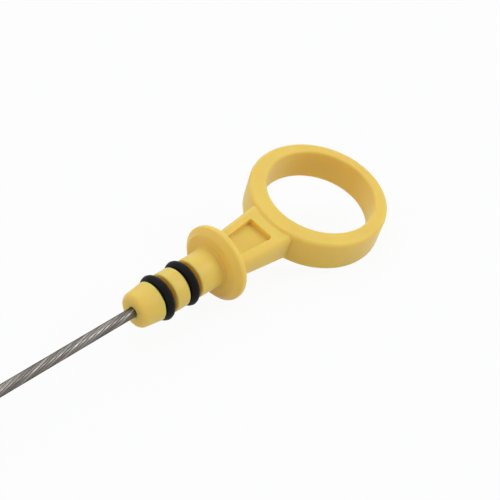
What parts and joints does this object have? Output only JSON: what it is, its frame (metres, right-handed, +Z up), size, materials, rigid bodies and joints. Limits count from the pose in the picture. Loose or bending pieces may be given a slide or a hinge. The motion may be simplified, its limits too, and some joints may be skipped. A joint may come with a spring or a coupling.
{
  "type": "engine oil dipstick",
  "caption": "Engine oil dipstick with a moulded finger ring, a recessed neck, a round collar, a grooved plug with rubber seals, a twisted steel gauge wire and a flat gauge tip.",
  "frame": {"origin": "middle of the collar's seat face, on the stick's axis", "axes": "+X along the stick from the gauge tip towards the finger ring, +Z up from the surface that the dipstick lies on"},
  "size_m": [0.4042, 0.0422, 0.0247],
  "materials": {
    "handle_plastic": "satin yellow moulding",
    "seal_rubber": "satin black",
    "anchor_steel": "plain",
    "wire_steel": "bright drawn wire",
    "tip_plastic": "satin yellow moulding"
  },
  "bodies": {
    "root": {"handle": "handle_plastic", "o_ring_rear": "seal_rubber", "o_ring_front": "seal_rubber", "wire_anchor": "anchor_steel", "gauge_wire": "wire_steel", "gauge_tip": "tip_plastic"}
  },
  "joints": []
}
